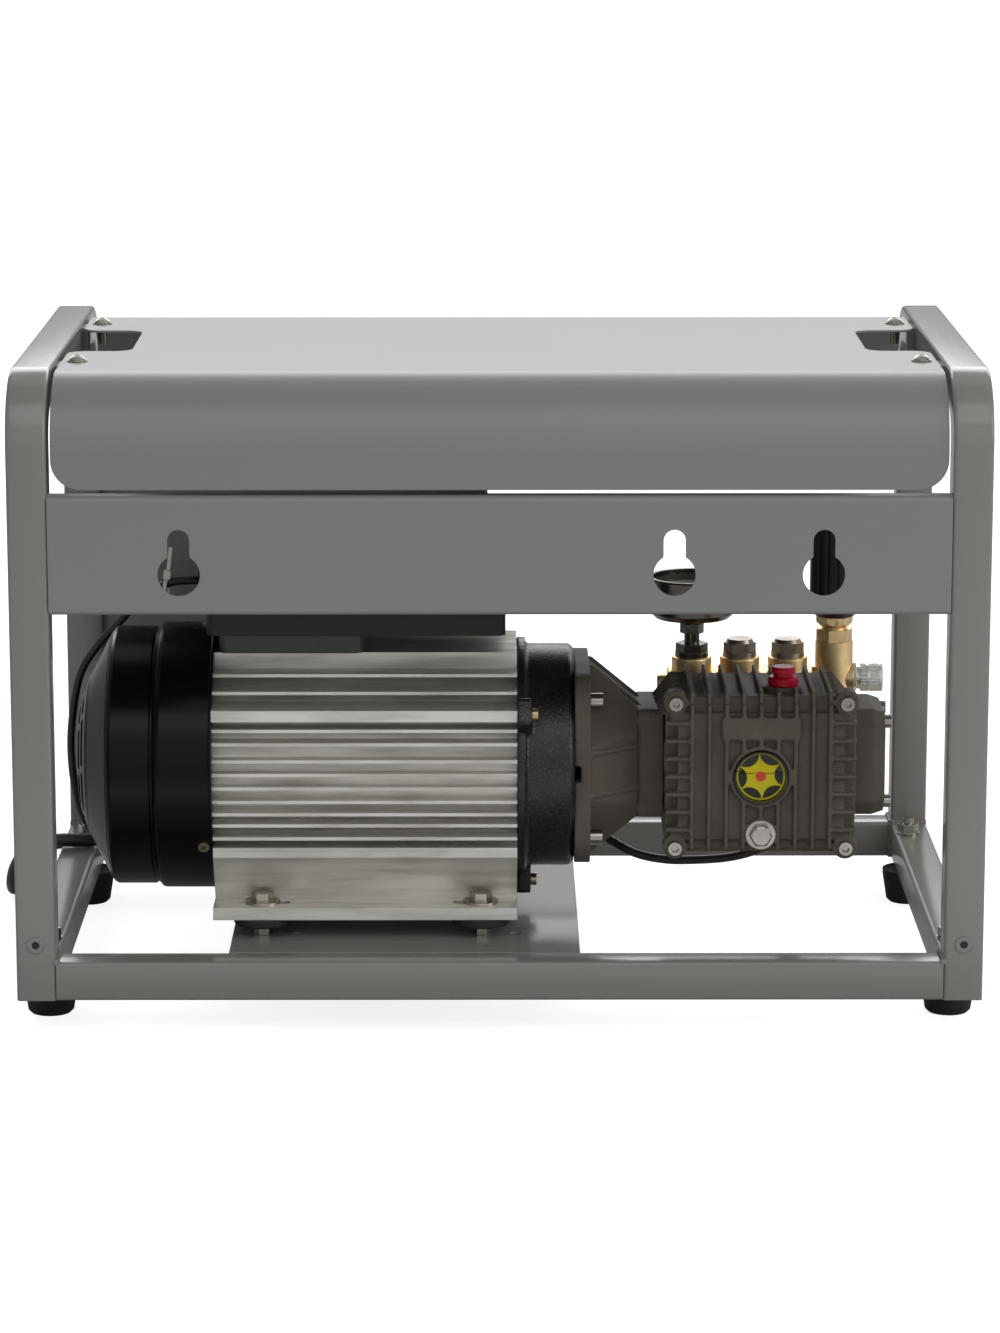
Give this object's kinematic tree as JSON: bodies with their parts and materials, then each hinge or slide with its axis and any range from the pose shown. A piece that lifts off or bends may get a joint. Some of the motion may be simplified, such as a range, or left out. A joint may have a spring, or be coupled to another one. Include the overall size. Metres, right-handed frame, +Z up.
{
  "type": "pressure washer",
  "caption": "Stationary electric pressure washer: a motor drives a plunger pump inside an open square-tube frame with keyhole wall panel and sheet top cover.",
  "frame": {"origin": "centre of the footprint of the four rubber feet, on the floor, without the mains lead", "axes": "+X along the motor shaft from the fan to the pump, +Y from the wall side to the operator's side, +Z up"},
  "size_m": [0.6657, 0.6385, 0.4286],
  "materials": {
    "frame_paint": "semi-gloss powder coat",
    "panel_paint": "fine satin powder coat",
    "black_rubber": "matte",
    "zinc_steel": "satin",
    "motor_alloy": "satin extrusion",
    "core_steel": "ground",
    "copper_winding": "varnished",
    "black_casting": "satin black paint",
    "fan_plastic": "matte",
    "brass_screws": "passivated",
    "box_plastic": "fine texture",
    "pump_casting": "satin dark bronze paint",
    "ceramic": "polished",
    "yellow_plastic": "gloss",
    "clear_lens": "clear",
    "red_plastic": "gloss",
    "cast_brass": "blasted",
    "nickel_plate": "nickel",
    "dial_white": "printed",
    "needle_black": "matte",
    "lead_sheath": "satin"
  },
  "bodies": {
    "root": {"left_side_hoop": "frame_paint", "right_side_hoop": "frame_paint", "near_bottom_rail": "frame_paint", "far_bottom_rail": "frame_paint", "left_bottom_rail": "frame_paint", "right_bottom_rail": "frame_paint", "wall_mount_panel": "panel_paint", "control_panel": "panel_paint", "top_cover": "panel_paint", "cover_brackets": "frame_paint", "cover_screws": "zinc_steel", "base_plate": "panel_paint", "rubber_feet": "black_rubber", "foot_studs": "zinc_steel", "rivet_nuts": "zinc_steel", "motor_housing": "motor_alloy", "stator_core": "core_steel", "windings": "copper_winding", "drive_end_flange": "black_casting", "rear_end_shield": "black_casting", "bearings": "core_steel", "fan_cover": "black_casting", "motor_screws": "brass_screws", "terminal_base": "box_plastic", "capacitor_box": "box_plastic", "anti_vibration_mounts": "black_rubber", "motor_foot_bolts": "zinc_steel", "bell_housing": "pump_casting", "pump_screws": "zinc_steel", "crankcase": "pump_casting", "crankcase_rear_cover": "pump_casting", "plungers": "ceramic", "bearing_cover": "pump_casting", "sight_glass_bezel": "box_plastic", "sight_glass_star": "yellow_plastic", "sight_glass_lens": "clear_lens", "oil_drain_plug": "zinc_steel", "breather_cap": "red_plastic", "manifold": "cast_brass", "valve_caps": "nickel_plate", "gauge_case": "nickel_plate", "gauge_dial": "dial_white", "gauge_lens": "clear_lens", "unloader_body": "cast_brass", "coupler_body": "nickel_plate", "switch_housing": "box_plastic", "cable_glands": "box_plastic", "motor_lead": "lead_sheath", "sensor_lead": "lead_sheath", "mains_lead": "lead_sheath", "mains_lead_coil": "lead_sheath", "mains_lead_tail": "lead_sheath", "mains_plug": "lead_sheath"},
    "drive_line": {"rotor": "core_steel", "cooling_fan": "fan_plastic", "crankshaft": "core_steel"},
    "unloader_knob": {"unloader_knob": "box_plastic"},
    "coupler_sleeve": {"coupler_sleeve": "nickel_plate"},
    "switch_rocker": {"switch_rocker": "red_plastic"},
    "gauge_needle": {"gauge_needle": "needle_black"}
  },
  "joints": [
    {"name": "drive_spin", "type": "hinge", "parent": "root", "child": "drive_line", "pos_m": [0, -0.06, 0.1538], "axis": [1, 0, 0], "continuous": true},
    {"name": "unloader_knob_turn", "type": "hinge", "parent": "root", "child": "unloader_knob", "pos_m": [0.2277, 0.005, 0.2354], "axis": [0, 0, 1], "range_deg": [-360, 360]},
    {"name": "coupler_sleeve_slide", "type": "slide", "parent": "root", "child": "coupler_sleeve", "axis": [-1, 0, 0], "range_m": [0, 0.0025], "stiffness_N_per_m": 1500, "springref_m": -0.001},
    {"name": "switch_rock", "type": "hinge", "parent": "root", "child": "switch_rocker", "pos_m": [-0.203, 0.192, 0.2295], "axis": [1, 0, 0], "range_deg": [0, 24]},
    {"name": "gauge_needle_swing", "type": "hinge", "parent": "root", "child": "gauge_needle", "pos_m": [0.131, 0.005, 0.254], "axis": [0, 0, -1], "range_deg": [0, 270], "stiffness_Nm_per_rad": 0.0005}
  ]
}
